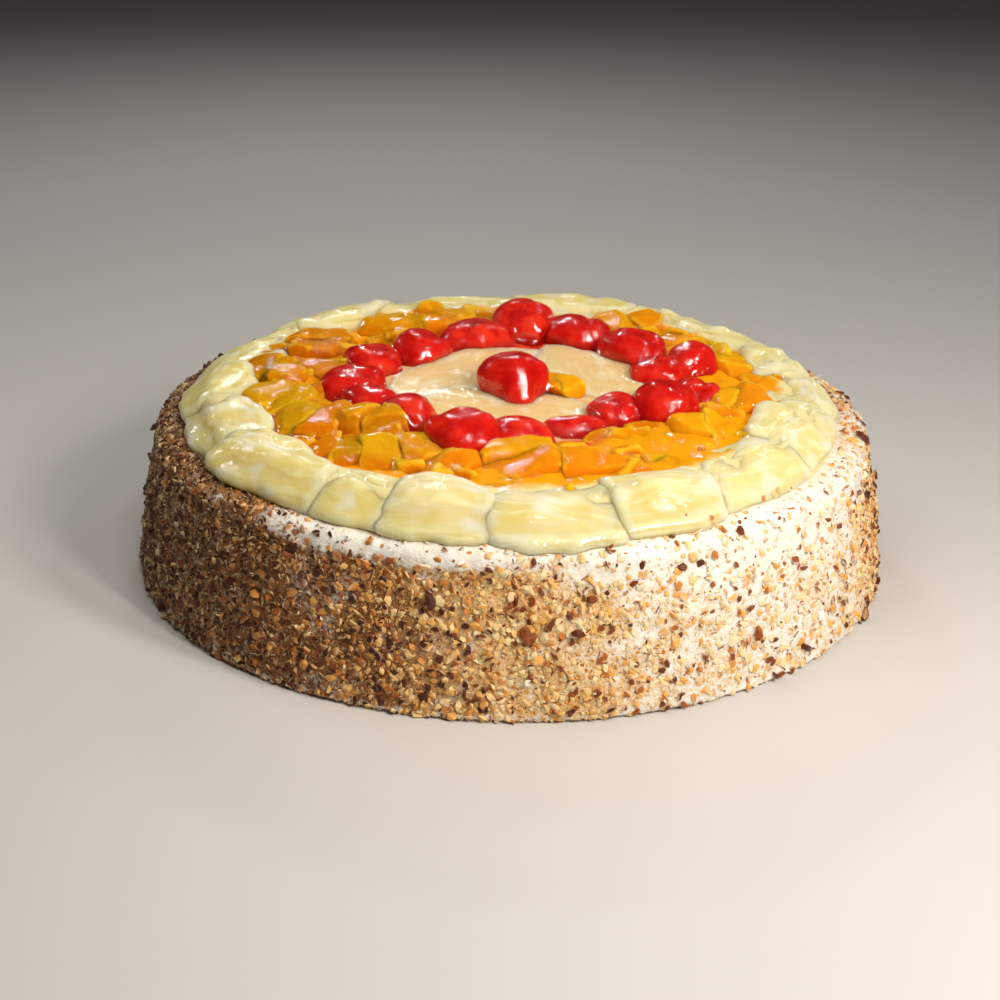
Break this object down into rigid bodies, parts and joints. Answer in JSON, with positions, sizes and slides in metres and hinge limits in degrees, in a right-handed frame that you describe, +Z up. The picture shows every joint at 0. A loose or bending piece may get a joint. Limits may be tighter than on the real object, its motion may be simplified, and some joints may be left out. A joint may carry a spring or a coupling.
{
  "type": "round fruit gateau",
  "caption": "Whole round cream cake with a nut-coated side, topped with glazed rings of pineapple, peach and cherry around a pale fruit disc.",
  "frame": {"origin": "centre of the cake's flat foot, on the surface that it stands on", "axes": "+Z up through the middle of the cake, -Y towards the side that faces the viewer, +X to the right"},
  "size_m": [0.2391, 0.2391, 0.0681],
  "materials": {
    "nut_cream": "whipped cream coated with chopped toasted nuts, matt and crumbly",
    "pineapple": "pale translucent pineapple under clear gel, wet gloss",
    "peach": "golden orange peach under clear gel, wet gloss",
    "cherry": "deep red glazed cherry, wet gloss"
  },
  "bodies": {
    "root": {"cake": "nut_cream", "pineapple_ring_01": "pineapple", "pineapple_ring_02": "pineapple", "pineapple_ring_03": "pineapple", "pineapple_ring_04": "pineapple", "pineapple_ring_05": "pineapple", "pineapple_ring_06": "pineapple", "pineapple_ring_07": "pineapple", "pineapple_ring_08": "pineapple", "pineapple_ring_09": "pineapple", "pineapple_ring_10": "pineapple", "pineapple_ring_11": "pineapple", "pineapple_ring_12": "pineapple", "pineapple_ring_13": "pineapple", "pineapple_ring_14": "pineapple", "pineapple_ring_15": "pineapple", "pineapple_ring_16": "pineapple", "pineapple_centre_01": "pineapple", "pineapple_centre_02": "pineapple", "pineapple_centre_03": "pineapple", "cherry_ring_01": "cherry", "cherry_ring_02": "cherry", "cherry_ring_03": "cherry", "cherry_ring_04": "cherry", "cherry_ring_05": "cherry", "cherry_ring_06": "cherry", "cherry_ring_07": "cherry", "cherry_ring_08": "cherry", "cherry_ring_09": "cherry", "cherry_ring_10": "cherry", "cherry_ring_11": "cherry", "cherry_ring_12": "cherry", "cherry_ring_13": "cherry", "cherry_ring_14": "cherry", "cherry_ring_15": "cherry", "cherry_ring_16": "cherry", "cherry_ring_17": "cherry", "cherry_centre": "cherry", "peach_band_01": "peach", "peach_band_02": "peach", "peach_band_03": "peach", "peach_band_04": "peach", "peach_band_05": "peach", "peach_band_06": "peach", "peach_band_07": "peach", "peach_band_08": "peach", "peach_band_09": "peach", "peach_band_10": "peach", "peach_band_11": "peach", "peach_band_12": "peach", "peach_band_13": "peach", "peach_band_14": "peach", "peach_band_15": "peach", "peach_band_16": "peach", "peach_band_17": "peach", "peach_band_18": "peach", "peach_band_19": "peach", "peach_band_20": "peach", "peach_band_21": "peach", "peach_centre": "peach"}
  },
  "joints": []
}
